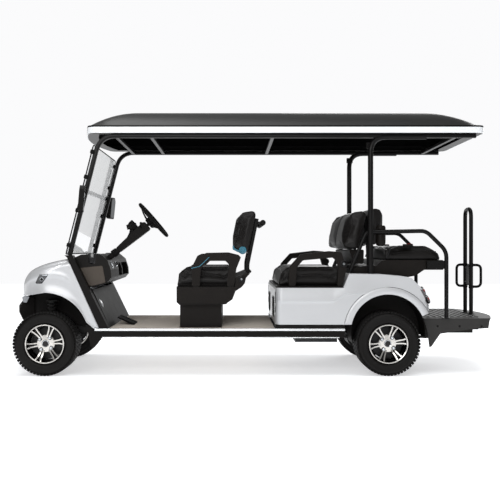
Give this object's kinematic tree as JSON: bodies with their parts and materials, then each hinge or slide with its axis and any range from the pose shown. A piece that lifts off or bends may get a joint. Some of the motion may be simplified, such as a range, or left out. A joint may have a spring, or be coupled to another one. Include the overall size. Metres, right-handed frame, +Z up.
{
  "type": "golf cart",
  "caption": "Long electric golf cart with forward bench seats, a rear-facing seat over a footboard, a full roof on posts, a windshield and alloy wheels.",
  "frame": {"origin": "on the ground under the middle of the overall length and width", "axes": "+X forwards, +Y to the cart's left side, +Z up"},
  "size_m": [3.6199, 1.4952, 1.935],
  "materials": {
    "frame_steel": "satin black paint",
    "battery_case": "plain moulded case",
    "floor_mat": "ribbed mat",
    "black_plastic": "grained moulding",
    "bright_trim": "brushed strip",
    "silver_paint": "metallic paint under clear coat",
    "lamp_lens": "dark clear lens",
    "dash_plastic": "grained moulding",
    "black_rubber": "soft grip",
    "black_powder_coat": "satin powder coat",
    "roof_plastic": "smooth vacuum-formed sheet",
    "white_band": "smooth",
    "clear_pane": "clear sheet",
    "seat_plastic": "grained moulding",
    "seat_vinyl": "grained vinyl with welded seams",
    "tail_lens": "moulded lens",
    "step_plastic": "tread-plate grain",
    "tyre_rubber": "moulded rubber",
    "machined_rim": "machined face, dark pockets"
  },
  "bodies": {
    "chassis": {"chassis_frame": "frame_steel", "front_axle": "frame_steel", "rear_axle": "frame_steel", "battery_pack": "battery_case", "floor_board": "floor_mat", "rocker_panels": "black_plastic", "rocker_trim": "bright_trim", "front_cowl": "silver_paint", "headlamps": "lamp_lens", "front_bumper": "black_plastic", "bulkhead_panel": "black_plastic", "dashboard": "dash_plastic", "steering_column": "black_plastic", "pedals": "black_rubber", "splash_flaps": "black_plastic", "roof_frame": "black_powder_coat", "roof_canopy": "roof_plastic", "roof_band": "white_band", "windshield": "clear_pane", "windshield_hinge": "bright_trim", "side_mirrors": "black_plastic", "seat_bases": "seat_plastic", "front_seat_back": "seat_vinyl", "middle_seat_back": "seat_vinyl", "rear_seat_back": "seat_vinyl", "armrests": "seat_plastic", "seat_frames": "black_powder_coat", "rear_body": "silver_paint", "tail_lamps": "tail_lens", "rear_step": "step_plastic", "grab_hoop": "black_powder_coat"},
    "left_knuckle": {"knuckle_left": "frame_steel"},
    "right_knuckle": {"knuckle_right": "frame_steel"},
    "front_left_wheel": {"tyre_front_left": "tyre_rubber", "rim_front_left": "machined_rim"},
    "front_right_wheel": {"tyre_front_right": "tyre_rubber", "rim_front_right": "machined_rim"},
    "rear_left_wheel": {"tyre_rear_left": "tyre_rubber", "rim_rear_left": "machined_rim"},
    "rear_right_wheel": {"tyre_rear_right": "tyre_rubber", "rim_rear_right": "machined_rim"},
    "steering": {"steering_wheel": "black_rubber"},
    "front_seat_lid": {"front_seat_cushion": "seat_vinyl"},
    "middle_seat_lid": {"middle_seat_cushion": "seat_vinyl"},
    "rear_seat_lid": {"rear_seat_cushion": "seat_vinyl"}
  },
  "joints": [
    {"name": "steer_left", "type": "hinge", "parent": "chassis", "child": "left_knuckle", "pos_m": [1.5, 0.405, 0.23], "axis": [0, 0, 1], "range_deg": [-28, 28]},
    {"name": "steer_right", "type": "hinge", "parent": "chassis", "child": "right_knuckle", "pos_m": [1.5, -0.405, 0.23], "axis": [0, 0, 1], "range_deg": [-28, 28]},
    {"name": "steering_turn", "type": "hinge", "parent": "chassis", "child": "steering", "pos_m": [0.754, 0.28, 1.124], "axis": [-0.76, 0, 0.6499], "range_deg": [-392, 392]},
    {"name": "roll_front_left", "type": "hinge", "parent": "left_knuckle", "child": "front_left_wheel", "pos_m": [1.5, 0.4975, 0.23], "axis": [0, 1, 0], "continuous": true},
    {"name": "roll_front_right", "type": "hinge", "parent": "right_knuckle", "child": "front_right_wheel", "pos_m": [1.5, -0.4975, 0.23], "axis": [0, 1, 0], "continuous": true},
    {"name": "roll_rear_left", "type": "hinge", "parent": "chassis", "child": "rear_left_wheel", "pos_m": [-0.95, 0.4975, 0.23], "axis": [0, 1, 0], "continuous": true},
    {"name": "roll_rear_right", "type": "hinge", "parent": "chassis", "child": "rear_right_wheel", "pos_m": [-0.95, -0.4975, 0.23], "axis": [0, 1, 0], "continuous": true},
    {"name": "front_seat_lift", "type": "hinge", "parent": "chassis", "child": "front_seat_lid", "pos_m": [0.571, 0, 0.636], "axis": [0, 1, 0], "range_deg": [0, 60]},
    {"name": "middle_seat_lift", "type": "hinge", "parent": "chassis", "child": "middle_seat_lid", "pos_m": [-0.165, 0, 0.643], "axis": [0, 1, 0], "range_deg": [0, 60]},
    {"name": "rear_seat_lift", "type": "hinge", "parent": "chassis", "child": "rear_seat_lid", "pos_m": [-1.364, 0, 0.828], "axis": [0, -1, 0], "range_deg": [0, 60]}
  ],
  "couplings": [
    {"joint": "steer_right", "follows": "steer_left", "ratio": 1},
    {"joint": "steering_turn", "follows": "steer_left", "ratio": 14}
  ]
}
